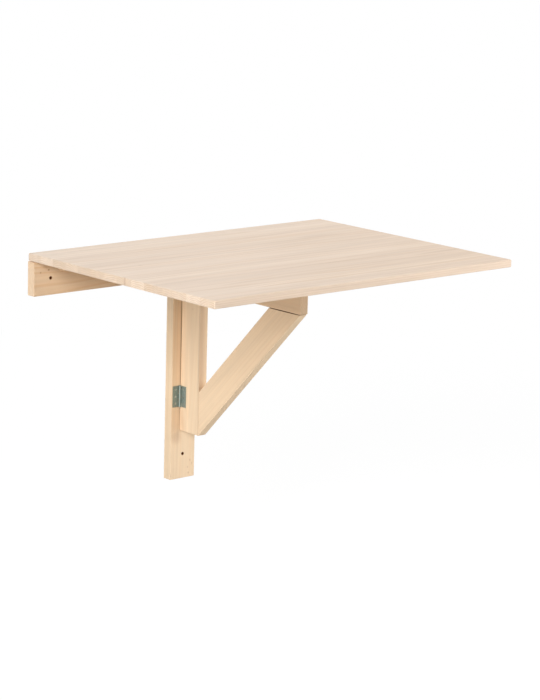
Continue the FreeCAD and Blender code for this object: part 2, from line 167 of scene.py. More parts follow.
# Shank's radius of the screws in each node, as a share of the head's
SHANK_SHARES = {
    "batten_hinge_screws": 0.5, "leg_hinge_screws": 0.5, "strip_hinge_screws": 0.5,
    "leaf_hinge_screws": 0.5, "strip_screws": 0.55, "cleat_screws": 0.55,
}

# Dowels: the bottom of a flute and the chamfer, as shares of the radius
FLUTE_BOTTOM = 0.93
CHAMFER_SHARE = 0.2

# Points of a solid that are this near are one, points this near to a rod's end belong to the end, and rods
# are put in order by places with so many digits
MERGE_REACH = 0.001 * MM
END_REACH = 0.01 * MM
ORDER_DIGITS = 5

# Edges sharper than this stay sharp
SHARP_ANGLE = math.radians(35)

# Studio: half the floor's side, the floor's own light and the trace of shadow that it shows near the table,
# where that trace starts to fade and where it ends, and the width of the camera's sensor in millimetres
FLOOR_HALF = 12.0
FLOOR_GLOW = 0.9
FLOOR_TRACE = 0.14
FLOOR_FADE = {"From Min": 1.2, "From Max": 2.6}
SENSOR_WIDTH = 36

# Pieces by what they are, and the ways that the fibres of boards run
STAVES = sorted(name for name in frame["nodes"] if name.startswith("leaf_stave_"))
HINGE_PIECES = sorted(name for name in frame["nodes"] if "_hinge_" in name and "screws" not in name)
ALONG_X = Vector((1, 0, 0))
ALONG_Y = Vector((0, 1, 0))
ALONG_Z = Vector((0, 0, 1))
BRACE_LOW, BRACE_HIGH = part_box("bracket_brace")
ALONG_BRACE = Vector((0, BRACE_LOW.y - BRACE_HIGH.y, BRACE_HIGH.z - BRACE_LOW.z)).normalized()

# Reach of a spot that goes right through the thickness of its board
ENDLESS = 1e6

# Where a mark, and a spot of painted shade and of the dark joint, start to fade and where they end, as
# shares of their reach
MARK_FADE = {"From Min": 0.2, "From Max": 1.4}
SHADE_AND_JOINT_FADE = {"From Min": 1.0, "From Max": 1.35}


class Noise(NamedTuple):
    """A noise in the wood: its stretch along the fibres, its look and its spread about a level of one."""

    stretch: float
    detail: float
    roughness: float
    spread: float


class Spot(NamedTuple):
    """A spot in the wood: heart and reach along X, Y and Z in millimetres, and strength at the heart."""

    heart: tuple
    reach: tuple
    strength: float


class Board(NamedTuple):
    """A board: its node, the way of its fibres, how pale it and its ends are, its figure and its spots."""

    node: str
    along: Vector
    tone: float
    end_tone: float
    figure: float
    marks: tuple = ()
    shades_and_joints: tuple = ()


class Rod(NamedTuple):
    """A screw or a dowel: the middle of its head, the way from tip to head, its length and head radius."""

    head: Vector
    way: Vector
    length: float
    radius: float


def find_bores(name):
    """Give the two holes of a screw mount as spots. The mount's own x and y run along X and Z here."""
    mount = next(each for each in frame["record"]["mounts"] if each["name"] == name)
    radius = mount["dims"]["hole_r_mm"]
    middle = Vector(mount["pos_m"]) / MM
    apart = Vector((mount["dims"].get("spacing_x_mm", 0), 0, mount["dims"].get("spacing_y_mm", 0)))
    return tuple(Spot(middle + side * apart / 2, (radius, ENDLESS, radius), 1.0) for side in (-1, 1))


# Noises in the wood, in the order in which they change its level
NOISES = {
    "fibre": Noise(stretch=40, detail=4, roughness=0.65, spread=0.03),
    "streak": Noise(stretch=30, detail=2, roughness=0.5, spread=0.055),
    "cloud": Noise(stretch=7, detail=3, roughness=0.55, spread=0.045),
}

# Marks: pin knots, brown streaks and soft darker patches, and soft patches of painted shade
RAIL_MARKS_AND_SHADE = (
    Spot((-379, 0, 13), (2.2, ENDLESS, 2.0), 0.6),
    Spot((-359, 0, 17), (2.6, ENDLESS, 2.2), 0.75),
    # Painted shadow of the leaf's edge on the top of the rail
    Spot((-369, 0, 17), (18, ENDLESS, 7), 0.13),
)
BATTEN_MARKS_AND_SHADE = (
    # Painted shade: under the foot of the leg, and on the batten's front beside the leg
    Spot((-18, 0, -383), (14, ENDLESS, 15), 0.27),
    Spot((-20, 0, -330), (15, ENDLESS, 62), 0.13),
    Spot((-20, 0, -180), (15, ENDLESS, 90), 0.08),
    # Pin knots
    Spot((21, 0, -438), (1.8, ENDLESS, 3.2), 0.3),
    Spot((15, 0, -453), (1.6, ENDLESS, 3.0), 0.25),
    Spot((26, 0, -446), (1.6, ENDLESS, 3.4), 0.25),
    Spot((17, 0, -466), (1.8, ENDLESS, 3.2), 0.3),
)
LEG_MARKS_AND_SHADE = (
    Spot((0, -59, -97), (ENDLESS, 2.2, 2.2), 0.14),
    Spot((-7, -85, -200), (10, 5, 240), 0.32),
    # Painted shade on the foot of the leg by its back edge
    Spot((0, -26, -350), (ENDLESS, 17, 48), 0.19),
)
LEAF_MARKS = (
    Spot((-288, -231, 0), (6, 2.6, ENDLESS), 0.2),
    Spot((238, -165, 0), (60, 16, ENDLESS), 0.09),
    Spot((-395, -319, 0), (4, 3, ENDLESS), 0.3),
)

# Painted shade and the joint: a line of painted shade on the batten along the leg's back edge, where the
# gap between them lies in shade, and the dark sawn line where the brace meets the arm, in both boards,
# deepened by painted shade in the open joint
GAP_SHADE_LINE = Spot((-10, 0, -165), (1.3, ENDLESS, 150), 0.45)
JOINT_LINE = Spot((0, -344, -52), (ENDLESS, 52, 0.9), 0.9)

# The screw holes of the rail and the batten get painted shade inside and round their rims
FRAME_BOARDS = (
    Board(
        "wall_rail", ALONG_X, tone=0.0, end_tone=1.0, figure=1.2,
        marks=RAIL_MARKS_AND_SHADE, shades_and_joints=find_bores("rail_screws"),
    ),
    Board(
        "wall_batten", ALONG_Z, tone=0.88, end_tone=0.5, figure=0.55,
        marks=BATTEN_MARKS_AND_SHADE, shades_and_joints=(*find_bores("batten_screws"), GAP_SHADE_LINE),
    ),
    Board("hinge_strip", ALONG_X, tone=0.3, end_tone=0.2, figure=0.6),
)
BRACKET_BOARDS = (
    Board("bracket_leg", ALONG_Z, tone=0.92, end_tone=0.5, figure=0.45, marks=LEG_MARKS_AND_SHADE),
    Board("bracket_arm", ALONG_Y, tone=0.2, end_tone=0.45, figure=0.7, shades_and_joints=(JOINT_LINE,)),
    Board("bracket_brace", ALONG_BRACE, tone=0.75, end_tone=0.5, figure=0.35, shades_and_joints=(JOINT_LINE,)),
)
CLEAT = Board("leaf_cleat", ALONG_Y, tone=0.6, end_tone=0.4, figure=0.7)

# Dowels are turned birch, which is close grained and shows little figure
DOWELS = tuple(
    Board(node, along, tone=0.7, end_tone=0.5, figure=0.5)
    for node, along in (
        ("rail_dowels", ALONG_Z), ("leg_arm_dowels", ALONG_Y),
        ("leg_brace_dowels", ALONG_Y), ("arm_brace_dowels", ALONG_Z),
    )
)


def to_linear(hex_colour):
    """Turn an sRGB hex colour into linear red, green and blue."""
    channels = [int(hex_colour[start:start + 2], 16) / 255 for start in (1, 3, 5)]
    return [c / 12.92 if c <= 0.04045 else ((c + 0.055) / 1.055) ** 2.4 for c in channels]


def with_alpha(colour):
    """Give a colour as the four numbers that a colour socket takes."""
    return (*colour, 1)


class WoodSettings(bpy.types.PropertyGroup):
    """Colours and grain of the wood, and the flutes of the dowels."""

    leaf_early: FloatVectorProperty(
        name="Leaf early wood", description="Pale part of each growth ring in the leaf",
        subtype="COLOR", min=0, max=1, default=to_linear("#F2DCC6"),
    )
    leaf_late: FloatVectorProperty(
        name="Leaf late wood", description="Dark part of each growth ring in the leaf",
        subtype="COLOR", min=0, max=1, default=to_linear("#D8BA98"),
    )
    board_early: FloatVectorProperty(
        name="Board early wood", description="Pale part of each growth ring in frame and bracket",
        subtype="COLOR", min=0, max=1, default=to_linear("#F0D5B3"),
    )
    board_late: FloatVectorProperty(
        name="Board late wood", description="Dark part of each growth ring in frame and bracket",
        subtype="COLOR", min=0, max=1, default=to_linear("#DEB588"),
    )
    # Also the colour of the soft patches of painted shade on the rail, the batten and the leg
    mark: FloatVectorProperty(
        name="Mark", description="Heart of a pin knot or of a brown streak",
        subtype="COLOR", min=0, max=1, default=to_linear("#9A6B45"),
    )
    # Painted shade inside and round the screw holes and along the gap behind the leg, and the dark joint
    # line under the arm
    shade_and_joint: FloatVectorProperty(
        name="Shade And Joint", description="Wood scorched by the drill or the saw",
        subtype="COLOR", min=0, max=1, default=to_linear("#6A3A12"),
    )
    ring_width: FloatProperty(
        name="Ring width", description="Width of a growth ring",
        unit="LENGTH", subtype="DISTANCE", default=4.2 * MM,
    )
    fibre_width: FloatProperty(
        name="Fibre width", description="Width of the streaks that bundles of fibres make",
        unit="LENGTH", subtype="DISTANCE", default=1.3 * MM,
    )
    streak_width: FloatProperty(
        name="Streak width", description="Width of the long soft streaks in the wood",
        unit="LENGTH", subtype="DISTANCE", default=9 * MM,
    )
    cloud_width: FloatProperty(
        name="Cloud width", description="Width of the soft patches of lighter and darker wood",
        unit="LENGTH", subtype="DISTANCE", default=45 * MM,
    )
    flutes: IntProperty(
        name="Dowel flutes", description="Number of glue grooves round a dowel", min=3, default=18,
    )


class MetalSettings(bpy.types.PropertyGroup):
    """Colours of the zinc and sizes of the screws."""

    hinge_zinc: FloatVectorProperty(
        name="Hinge zinc", description="Satin zinc plate on the hinges",
        subtype="COLOR", min=0, max=1, default=to_linear("#9CA69D"),
    )
    screw_zinc: FloatVectorProperty(
        name="Screw zinc", description="Brighter zinc plate on the screws",
        subtype="COLOR", min=0, max=1, default=to_linear("#BDBDB4"),
    )
    recess_width: FloatProperty(
        name="Recess width", description="Width of a slot of the cross recess, as a share of the head",
        subtype="FACTOR", min=0, max=1, default=0.22,
    )
    recess_reach: FloatProperty(
        name="Recess reach", description="Length of the cross recess, as a share of the head",
        subtype="FACTOR", min=0, max=1, default=0.6,
    )
    thread_pitch: FloatProperty(
        name="Thread pitch", description="Rise of the screw thread in one turn",
        unit="LENGTH", subtype="DISTANCE", default=1.6 * MM,
    )


class StageSettings(bpy.types.PropertyGroup):
    """Camera, floor and lamps."""

    camera_place: FloatVectorProperty(
        name="Camera place", description="Where the camera stands",
        subtype="TRANSLATION", unit="LENGTH", default=(-3.4324, -4.2270, 0.9993),
    )
    camera_azimuth: FloatProperty(
        name="Camera azimuth", description="Turn of the camera round the table from straight in front",
        subtype="ANGLE", unit="ROTATION", default=math.radians(-41.144),
    )
    camera_elevation: FloatProperty(
        name="Camera elevation", description="Angle by which the camera looks down",
        subtype="ANGLE", unit="ROTATION", default=math.radians(12.346),
    )
    camera_roll: FloatProperty(
        name="Camera roll", description="Turn of the camera about its own line of sight",
        subtype="ANGLE", unit="ROTATION", default=math.radians(1.575),
    )
    focal_length: FloatProperty(
        name="Focal length", description="Focal length of the lens in millimetres",
        subtype="DISTANCE_CAMERA", unit="CAMERA", default=134.11,
    )
    floor_drop: FloatProperty(
        name="Floor drop", description="Depth of the floor under the rail's screw line",
        unit="LENGTH", subtype="DISTANCE", default=0.69,
    )
    ambient: FloatProperty(
        name="Ambient light", description="Strength of the even light from all round",
        subtype="FACTOR", min=0, max=1, default=0.03,
    )


def fill_inputs(tree, node, inputs):
    """Set or link a node's inputs by name or index. A list holds several links to one input."""
    for key, given in inputs.items():
        for value in given if isinstance(given, list) else [given]:
            if isinstance(value, bpy.types.NodeSocket):
                tree.links.new(value, node.inputs[key])
            else:
                node.inputs[key].default_value = value


def add_node(tree, kind, inputs=None, **settings):
    """Add a node with its settings, and set or link its inputs."""
    node = tree.nodes.new(kind)
    for name, value in settings.items():
        setattr(node, name, value)
    fill_inputs(tree, node, inputs or {})
    return node


def add_sockets(tree, in_out, sockets):
    """Declare a tree's inputs or outputs: the names of those of each socket type."""
    for socket_type, names in sockets.items():
        for name in names:
            tree.interface.new_socket(name=name, in_out=in_out, socket_type=socket_type)


def add_rings(tree, place, wood):
    """Give the share of late wood at each place: rings round the pith, drawn out along the fibres."""
    drawn_out = add_node(
        tree, "ShaderNodeVectorMath", {0: place, 1: (1 / RING_STRETCH, 1, 1)}, operation="MULTIPLY",
    ).outputs["Vector"]
    rings = add_node(
        tree, "ShaderNodeTexWave",
        {
            "Vector": drawn_out, "Scale": 1 / (WAVE_RATE * wood.ring_width), "Distortion": 11,
            "Detail": 3, "Detail Scale": 0.25, "Detail Roughness": 0.55,
        },
        wave_type="RINGS", rings_direction="X", wave_profile="SAW",
    ).outputs["Fac"]

    # Early wood darkens slowly into late wood, and the next ring starts pale
    ramp = add_node(tree, "ShaderNodeValToRGB", {"Fac": rings})
    ramp.color_ramp.interpolation = "EASE"
    stops = ramp.color_ramp.elements
    for position, _ in RING_PROFILE[1:-1]:
        stops.new(position)
    for stop, (position, share) in zip(stops, RING_PROFILE):
        stop.position = position
        stop.color = with_alpha((share, share, share))
    return ramp.outputs["Color"]


def add_noises(tree, place, wood):
    """Give the fibres, streaks and clouds of the wood, drawn out along the fibres.

    Single fibres are too fine to show, so the streaks that bundles of them make are drawn instead.
    """
    widths = {"fibre": wood.fibre_width, "streak": wood.streak_width, "cloud": wood.cloud_width}
    noises = {}
    for name, noise in NOISES.items():
        drawn_out = add_node(
            tree, "ShaderNodeVectorMath", {0: place, 1: (1 / noise.stretch, 1, 1)}, operation="MULTIPLY",
        ).outputs["Vector"]
        noises[name] = add_node(
            tree, "ShaderNodeTexNoise",
            {
                "Vector": drawn_out, "Scale": 1 / widths[name],
                "Detail": noise.detail, "Roughness": noise.roughness,
            },
        ).outputs["Fac"]
    return noises


def build_grain(wood):
    """Build the node group for sawn wood: growth rings round a pith, fibres, streaks, marks, and painted
    shade with the dark joint.
    """
    tree = bpy.data.node_groups.new("sawn_wood_grain", "ShaderNodeTree")
    add_sockets(tree, "INPUT", {
        "NodeSocketVector": ["Place"],
        "NodeSocketFloat": ["End Grain", "Tone", "End Tone", "Figure", "Mark Share", "Shade And Joint Share"],
        "NodeSocketColor": ["Early Wood", "Late Wood", "Mark", "Shade And Joint"],
    })
    add_sockets(tree, "OUTPUT", {
        "NodeSocketColor": ["Color"],
        "NodeSocketFloat": ["Roughness", "Height"],
    })
    given = add_node(tree, "NodeGroupInput").outputs

    late = add_rings(tree, given["Place"], wood)
    noises = add_noises(tree, given["Place"], wood)

    # Late wood is strong in some stretches and faint in others, and shows most on a cut end
    ring_strength = add_node(
        tree, "ShaderNodeMapRange", {"Value": noises["cloud"], **NOISE_MIDDLE, **RING_STRENGTH},
    ).outputs["Result"]
    ring_strength = add_node(
        tree, "ShaderNodeMath", {0: given["End Grain"], 1: ring_strength, 2: ring_strength},
        operation="MULTIPLY_ADD",
    ).outputs["Value"]
    ring_strength = add_node(
        tree, "ShaderNodeMath", {0: ring_strength, 1: given["Figure"]}, operation="MULTIPLY",
    ).outputs["Value"]
    late_share = add_node(
        tree, "ShaderNodeMath", {0: late, 1: ring_strength}, operation="MULTIPLY",
    ).outputs["Value"]
    ringed = add_node(
        tree, "ShaderNodeMix",
        {"Factor": late_share, MIX_A: given["Early Wood"], MIX_B: given["Late Wood"]}, data_type="RGBA",
    ).outputs[MIX_RESULT]

    # Level: fibres, streaks and clouds about a level of one
    level = 1.0
    for name, noise in NOISES.items():
        share = add_node(
            tree, "ShaderNodeMapRange",
            {
                "Value": noises[name], **NOISE_SPAN,
                "To Min": 1 - noise.spread, "To Max": 1 + noise.spread,
            },
        ).outputs["Result"]
        level = add_node(
            tree, "ShaderNodeMath", {0: share, 1: level}, operation="MULTIPLY",
        ).outputs["Value"]
    levelled = add_node(
        tree, "ShaderNodeVectorMath", {0: ringed, "Scale": level}, operation="SCALE",
    ).outputs["Vector"]

    # Tone: one board is a little warm and deep, the next a little cool and pale. A cut end drinks light if
    # it is rough, and stays pale if it is sanded.
    tinted = [levelled]
    for name, low, high in (
        ("Tone", DEEP_TINT, PALE_TINT), ("End Tone", ROUGH_END_TINT, SANDED_END_TINT),
    ):
        tint = add_node(
            tree, "ShaderNodeMix",
            {"Factor": given[name], MIX_A: with_alpha(low), MIX_B: with_alpha(high)}, data_type="RGBA",
        ).outputs[MIX_RESULT]
        tinted.append(add_node(
            tree, "ShaderNodeVectorMath", {0: tinted[-1], 1: tint}, operation="MULTIPLY",
        ).outputs["Vector"])
    colour = add_node(
        tree, "ShaderNodeMix",
        {"Factor": given["End Grain"], MIX_A: tinted[1], MIX_B: tinted[2]}, data_type="RGBA",
    ).outputs[MIX_RESULT]
    # Marks, then painted shade and the dark joint line, laid over the wood
    for name in ("Mark", "Shade And Joint"):
        colour = add_node(
            tree, "ShaderNodeMix",
            {"Factor": given[f"{name} Share"], MIX_A: colour, MIX_B: given[name]}, data_type="RGBA",
        ).outputs[MIX_RESULT]

    roughness = add_node(
        tree, "ShaderNodeMapRange", {"Value": noises["fibre"], **NOISE_SPAN, **WOOD_ROUGHNESS},
    ).outputs["Result"]
    height = add_node(
        tree, "ShaderNodeMath", {0: late_share, 1: LATE_RELIEF, 2: noises["fibre"]},
        operation="MULTIPLY_ADD",
    ).outputs["Value"]
    add_node(tree, "NodeGroupOutput", {"Color": colour, "Roughness": roughness, "Height": height})
    return tree


def get_grain(wood):
    """Give the wood's node group, made once."""
    return bpy.data.node_groups.get("sawn_wood_grain") or build_grain(wood)


def start_material(name):
    """Start a material with an empty node tree."""
    material = bpy.data.materials.new(name)
    material.use_nodes = True
    material.node_tree.nodes.clear()
    return material, material.node_tree


def add_spots(tree, coordinate, spots, fade):
    """Give the share of the strongest spot at each place: its strength at the heart, none past it."""
    share = 0.0
    for spot in spots:
        local = add_node(
            tree, "ShaderNodeMapping",
            {"Vector": coordinate, "Location": MM * Vector(spot.heart), "Scale": MM * Vector(spot.reach)},
            vector_type="TEXTURE",
        ).outputs["Vector"]
        distance = add_node(
            tree, "ShaderNodeVectorMath", {0: local}, operation="LENGTH",
        ).outputs["Value"]
        strength = add_node(
            tree, "ShaderNodeMapRange",
            {"Value": distance, **fade, "To Min": spot.strength, "To Max": 0},
            interpolation_type="SMOOTHSTEP",
        ).outputs["Result"]
        share = add_node(
            tree, "ShaderNodeMath", {0: strength, 1: share}, operation="MAXIMUM",
        ).outputs["Value"]
    return share


def finish_wood(tree, wood, coordinates, place, along, inputs):
    """Join a board's own place and look to the grain, and the grain to a bare wood surface."""
    facing = add_node(
        tree, "ShaderNodeVectorMath", {0: coordinates["Normal"], 1: along}, operation="DOT_PRODUCT",
    ).outputs["Value"]
    facing = add_node(tree, "ShaderNodeMath", {0: facing}, operation="ABSOLUTE").outputs["Value"]
    end_grain = add_node(tree, "ShaderNodeMapRange", {"Value": facing, **END_FACING}).outputs["Result"]
    group = add_node(
        tree, "ShaderNodeGroup",
        {
            "Place": place, "End Grain": end_grain,
            "Mark": with_alpha(wood.mark), "Shade And Joint": with_alpha(wood.shade_and_joint), **inputs,
        },
        node_tree=get_grain(wood),
    ).outputs
    bump = add_node(
        tree, "ShaderNodeBump",
        {"Height": group["Height"], "Strength": 0.3, "Distance": RELIEF_DEPTH},
    ).outputs["Normal"]
    shader = add_node(
        tree, "ShaderNodeBsdfPrincipled",
        {
            "Base Color": group["Color"], "Roughness": group["Roughness"], "Normal": bump,
            "IOR": 1.5, "Specular IOR Level": 0.3,
        },
    ).outputs["BSDF"]
    add_node(tree, "ShaderNodeOutputMaterial", {"Surface": shader})


def make_board_wood(kind, board, wood):
    """Bare wood for one board: pale early wood and honey late wood in long lines.

    The board is flat sawn: the pith runs behind its wide face, a little out of line with it, so
    that the rings show as long arches on its faces and as arcs on its ends.
    """
    material, tree = start_material(f"{kind}_{board.node}")
    chance = random.Random(f"{SEED} {board.node}")
    low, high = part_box(board.node)
    size = high - low

    # The board's thin way, which is never the way of its fibres, and its wide way
    thin = Vector()
    thin[min(range(3), key=lambda axis: size[axis] + abs(board.along[axis]))] = 1
    wide = board.along.cross(thin)

    behind = chance.uniform(*PITH_BEHIND) * chance.choice((-1, 1)) * MM
    aside = chance.uniform(-PITH_ASIDE, PITH_ASIDE) * MM
    pith = (low + high) / 2 + behind * thin + aside * wide
    lean = Euler([math.radians(chance.uniform(-PITH_LEAN, PITH_LEAN)) for _ in range(3)])
    turn = (lean.to_quaternion() @ board.along.to_track_quat("X", "Z")).to_euler()

    coordinates = add_node(tree, "ShaderNodeTexCoord").outputs
    place = add_node(
        tree, "ShaderNodeMapping",
        {"Vector": coordinates["Object"], "Location": pith, "Rotation": turn},
        vector_type="TEXTURE",
    ).outputs["Vector"]
    finish_wood(tree, wood, coordinates, place, board.along, {
        "Tone": board.tone,
        "End Tone": board.end_tone,
        "Figure": board.figure,
        "Mark Share": add_spots(tree, coordinates["Object"], board.marks, MARK_FADE),
        "Shade And Joint Share": add_spots(tree, coordinates["Object"], board.shades_and_joints, SHADE_AND_JOINT_FADE),
        "Early Wood": with_alpha(wood.board_early),
        "Late Wood": with_alpha(wood.board_late),
    })
    return material


def add_glue_lines(tree, count, stave_width):
    """Give the share of glue at each place, from a count of staves that starts at the wall.

    A glue line is too thin to see, so it is drawn half a millimetre to each side of the joint. There is
    none along the outer edges of the leaf.
    """
    half_stave = 0.5
    inner = add_node(
        tree, "ShaderNodeClamp", {"Value": count, "Min": half_stave, "Max": len(STAVES) - half_stave},
    ).outputs["Result"]
    apart = add_node(
        tree, "ShaderNodeMath", {0: inner, 1: half_stave}, operation="PINGPONG",
    ).outputs["Value"]
    return add_node(
        tree, "ShaderNodeMapRange",
        {"Value": apart, "From Max": GLUE_LINE / stave_width, "To Min": GLUE_STRENGTH, "To Max": 0},
    ).outputs["Result"]


def make_leaf_wood(wood):
    """Sanded bare pine staves glued edge to edge: each has its own pith, stretch of grain and tone."""
    material, tree = start_material("sanded_pine_staves")
    low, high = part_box(STAVES[0])
    stave_width = high.y - low.y
    coordinates = add_node(tree, "ShaderNodeTexCoord").outputs

    # Staves are counted from the wall, and each draws its own chance
    out = add_node(tree, "ShaderNodeSeparateXYZ", {0: coordinates["Object"]}).outputs["Y"]
    count = add_node(
        tree, "ShaderNodeMath", {0: out, 1: -1 / stave_width, 2: high.y / stave_width},
        operation="MULTIPLY_ADD",
    ).outputs["Value"]
    stave = add_node(tree, "ShaderNodeMath", {0: count}, operation="FLOOR").outputs["Value"]
    pick = add_node(tree, "ShaderNodeMath", {0: stave, 1: STAVE_SEED}, operation="ADD").outputs["Value"]
    chance = add_node(tree, "ShaderNodeTexWhiteNoise", {"W": pick}, noise_dimensions="1D").outputs

    # The pith lies under the stave's middle, at a depth and to a side of its own
    middle = add_node(
        tree, "ShaderNodeMath", {0: stave, 1: -stave_width, 2: high.y - stave_width / 2},
        operation="MULTIPLY_ADD",
    ).outputs["Value"]
    middle = add_node(
        tree, "ShaderNodeCombineXYZ", {"Y": middle, "Z": (low.z + high.z) / 2},
    ).outputs["Vector"]
    local = add_node(
        tree, "ShaderNodeVectorMath", {0: coordinates["Object"], 1: middle}, operation="SUBTRACT",
    ).outputs["Vector"]
    shift = add_node(
        tree, "ShaderNodeVectorMath", {0: chance["Color"], 1: STAVE_PITH_SPREAD, 2: STAVE_PITH_START},
        operation="MULTIPLY_ADD",
    ).outputs["Vector"]
    place = add_node(
        tree, "ShaderNodeVectorMath", {0: local, 1: shift}, operation="ADD",
    ).outputs["Vector"]
    tones = {
        name: add_node(tree, "ShaderNodeMapRange", {"Value": chance["Value"], **tone}).outputs["Result"]
        for name, tone in STAVE_TONES.items()
    }

    seam = add_glue_lines(tree, count, stave_width)
    marks = add_node(
        tree, "ShaderNodeMath",
        {0: add_spots(tree, coordinates["Object"], LEAF_MARKS, MARK_FADE), 1: seam},
        operation="MAXIMUM",
    ).outputs["Value"]
    finish_wood(tree, wood, coordinates, place, ALONG_X, {
        **tones,
        "Figure": 1.0,
        "Mark Share": marks,
        "Shade And Joint Share": 0.0,
        "Early Wood": with_alpha(wood.leaf_early),
        "Late Wood": with_alpha(wood.leaf_late),
    })
    return material


def make_zinc(name, colour, roughness):
    """Zinc plated steel, passivated: a grey metal with cloudy gloss and a fine grit."""
    material, tree = start_material(name)
    place = add_node(tree, "ShaderNodeTexCoord").outputs["Object"]
    cloud = add_node(
        tree, "ShaderNodeTexNoise",
        {"Vector": place, "Scale": 1 / ZINC_CLOUD, "Detail": 4, "Roughness": 0.6},
    ).outputs["Fac"]
    level = add_node(
        tree, "ShaderNodeMapRange", {"Value": cloud, **NOISE_MIDDLE, **ZINC_LEVEL},
    ).outputs["Result"]
    base = add_node(
        tree, "ShaderNodeVectorMath", {0: tuple(colour), "Scale": level}, operation="SCALE",
    ).outputs["Vector"]
    gloss = add_node(
        tree, "ShaderNodeMapRange",
        {
            "Value": cloud, **NOISE_MIDDLE,
            "To Min": roughness + ZINC_GLOSS[0], "To Max": roughness + ZINC_GLOSS[1],
        },
    ).outputs["Result"]

    # The crystals of the zinc are too fine to show, so their grit is drawn half a millimetre wide
    grit = add_node(
        tree, "ShaderNodeTexNoise", {"Vector": place, "Scale": 1 / ZINC_GRIT, "Detail": 2},
    ).outputs["Fac"]
    bump = add_node(
        tree, "ShaderNodeBump", {"Height": grit, "Strength": 0.15, "Distance": ZINC_GRIT_DEPTH},
    ).outputs["Normal"]
    shader = add_node(
        tree, "ShaderNodeBsdfPrincipled",
        {"Base Color": base, "Roughness": gloss, "Normal": bump, "Metallic": 1.0},
    ).outputs["BSDF"]
    add_node(tree, "ShaderNodeOutputMaterial", {"Surface": shader})
    return material


def paint(node, material):
    """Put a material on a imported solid."""
    slots = frame["nodes"][node].material_slots
    if not slots:
        raise RuntimeError(f"{node} has no material slot")
    for slot in slots:
        slot.material = material


def split_solids(node):
    """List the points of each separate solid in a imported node."""
    mesh = bmesh.new()
    mesh.from_mesh(frame["nodes"][node].data)
    bmesh.ops.remove_doubles(mesh, verts=mesh.verts, dist=MERGE_REACH)
    solids = []
    unseen = set(mesh.verts)
    while unseen:
        reached = [unseen.pop()]
        for vertex in reached:
            for edge in vertex.link_edges:
                other = edge.other_vert(vertex)
                if other in unseen:
                    unseen.remove(other)
                    reached.append(other)
        solids.append([vertex.co.copy() for vertex in reached])
    mesh.free()
    return solids


def measure_rod(points):
    """Measure a round solid, whose head is its wider end."""
    low = Vector([min(point[axis] for point in points) for axis in range(3)])
    high = Vector([max(point[axis] for point in points) for axis in range(3)])
    size = high - low
    axis = max(range(3), key=lambda index: size[index])
    middle = (low + high) / 2
    radii = []
    for end in (low, high):
        spokes = [point - middle for point in points if abs(point[axis] - end[axis]) < END_REACH]
        for spoke in spokes:
            spoke[axis] = 0
        radii.append(max(spoke.length for spoke in spokes))
    head_end = high if radii[1] >= radii[0] else low
    head = middle.copy()
    head[axis] = head_end[axis]
    way = Vector()
    way[axis] = 1 if head_end is high else -1
    return Rod(head, way, size[axis], max(radii))


def find_rods(node):
    """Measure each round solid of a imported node, in a fixed order."""
    rods = [measure_rod(points) for points in split_solids(node)]
    return sorted(rods, key=lambda rod: [round(place, ORDER_DIGITS) for place in rod.head])


def add_turned(tree, stations, profile):
    """Add a closed round body through stations of depth and radius along the Z axis."""
    index = add_node(tree, "GeometryNodeInputIndex").outputs["Index"]
    depth_and_radius = []
    for values in zip(*stations):
        switch = add_node(tree, "GeometryNodeIndexSwitch", {"Index": index}, data_type="FLOAT")
        while len(switch.index_switch_items) < len(stations):
            switch.index_switch_items.new()
        fill_inputs(tree, switch, dict(enumerate(values, start=1)))
        depth_and_radius.append(switch.outputs["Output"])
    depth, radius = depth_and_radius
    line = add_node(tree, "GeometryNodeCurvePrimitiveLine", {"End": (0, 0, 1)}).outputs["Curve"]
    line = add_node(
        tree, "GeometryNodeResampleCurve", {"Curve": line, "Count": len(stations)},
    ).outputs["Curve"]
    place = add_node(tree, "ShaderNodeCombineXYZ", {"Z": depth}).outputs["Vector"]
    line = add_node(
        tree, "GeometryNodeSetPosition", {"Geometry": line, "Position": place},
    ).outputs["Geometry"]
    return add_node(
        tree, "GeometryNodeCurveToMesh",
        {"Curve": line, "Profile Curve": profile, "Scale": radius, "Fill Caps": True},
    ).outputs["Mesh"]


def add_copies(tree, given, shape):
    """Set a shape on every point, along the point's own way and turned by chance, and end the tree."""
    way = add_node(
        tree, "GeometryNodeInputNamedAttribute", {"Name": "way"}, data_type="FLOAT_VECTOR",
    ).outputs["Attribute"]
    upright = add_node(
        tree, "FunctionNodeAlignRotationToVector", {"Vector": way}, axis="Z",
    ).outputs["Rotation"]
    turn = add_node(
        tree, "FunctionNodeRandomValue", {2: 0.0, 3: 2 * math.pi, "Seed": given["Seed"]},
        data_type="FLOAT",
    ).outputs[1]
    spin = add_node(tree, "ShaderNodeCombineXYZ", {"Z": turn}).outputs["Vector"]
    spin = add_node(tree, "FunctionNodeEulerToRotation", {"Euler": spin}).outputs["Rotation"]
    rotation = add_node(
        tree, "FunctionNodeRotateRotation", {"Rotation": upright, "Rotate By": spin},
        rotation_space="LOCAL",
    ).outputs["Rotation"]
    copies = add_node(
        tree, "GeometryNodeInstanceOnPoints",
        {"Points": given["Points"], "Instance": shape, "Rotation": rotation},
    ).outputs["Instances"]
    real = add_node(tree, "GeometryNodeRealizeInstances", {"Geometry": copies}).outputs["Geometry"]
    coated = add_node(
        tree, "GeometryNodeSetMaterial", {"Geometry": real, "Material": given["Material"]},
    ).outputs["Geometry"]
    add_node(tree, "NodeGroupOutput", {"Geometry": coated})


